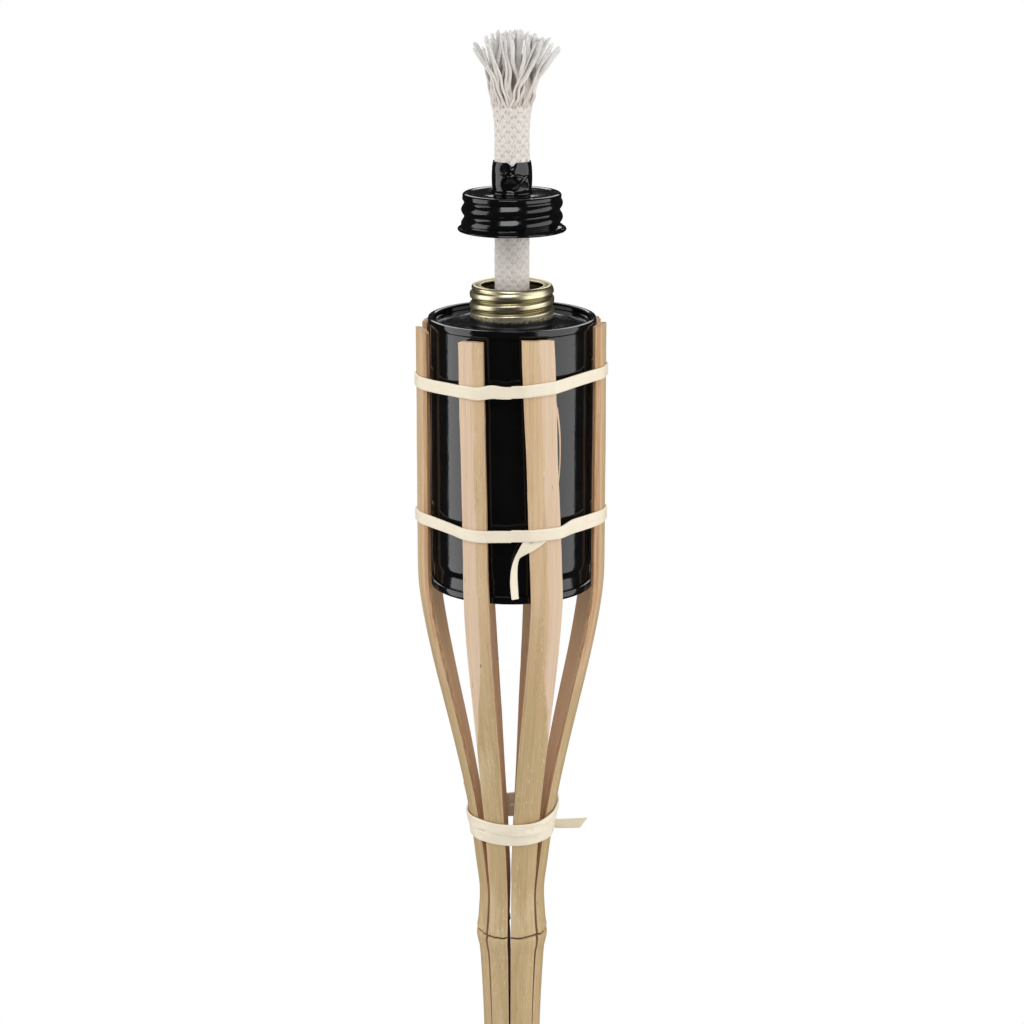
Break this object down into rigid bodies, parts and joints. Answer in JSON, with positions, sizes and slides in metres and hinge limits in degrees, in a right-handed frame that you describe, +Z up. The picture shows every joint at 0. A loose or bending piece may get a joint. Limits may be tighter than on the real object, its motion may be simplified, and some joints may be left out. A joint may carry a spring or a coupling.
{
  "type": "tiki torch",
  "caption": "Bamboo garden torch: split slats tied with elastic bands hold a black oil canister, and a screw cap with a crimped tube carries a braided cotton wick.",
  "frame": {"origin": "on the torch's axis at ground level, where the straight stake ends and the free culm begins; the stake reaches down below it", "axes": "+Z up along the culm towards the wick, -Y the front, +X the viewer's right"},
  "size_m": [0.0744, 0.0736, 0.9976],
  "materials": {
    "bamboo_culm": "satin, pale dried bamboo skin",
    "bamboo_slat": "matt, split and planed bamboo",
    "elastic_band": "satin, cream latex strip",
    "black_enamel": "gloss, black enamel",
    "gold_lacquer": "satin, gold lacquered tinplate",
    "cotton": "matt, braided unbleached cotton"
  },
  "bodies": {
    "stand": {"pole": "bamboo_culm", "slat_1": "bamboo_slat", "slat_2": "bamboo_slat", "slat_3": "bamboo_slat", "slat_4": "bamboo_slat", "slat_5": "bamboo_slat", "slat_6": "bamboo_slat", "slat_7": "bamboo_slat", "slat_8": "bamboo_slat", "upper_band": "elastic_band", "lower_band": "elastic_band", "neck_band": "elastic_band"},
    "canister": {"can_body": "black_enamel", "can_top_end": "black_enamel", "can_bottom_end": "black_enamel", "filler_neck": "gold_lacquer"},
    "wick": {"wick": "cotton"},
    "collar": {"wick_tube": "black_enamel"},
    "cap": {"cap": "black_enamel"}
  },
  "joints": [
    {"name": "canister_lift", "type": "slide", "parent": "stand", "child": "canister", "axis": [0, 0, 1], "range_m": [0, 0.115]},
    {"name": "burner_lift", "type": "slide", "parent": "canister", "child": "wick", "axis": [0, 0, 1], "range_m": [0, 0.125]},
    {"name": "cap_slide", "type": "slide", "parent": "wick", "child": "collar", "axis": [0, 0, 1], "range_m": [-0.0346, 0.012]},
    {"name": "cap_turn", "type": "hinge", "parent": "collar", "child": "cap", "pos_m": [0, 0, 0.7248], "axis": [0, 0, 1], "continuous": true}
  ]
}
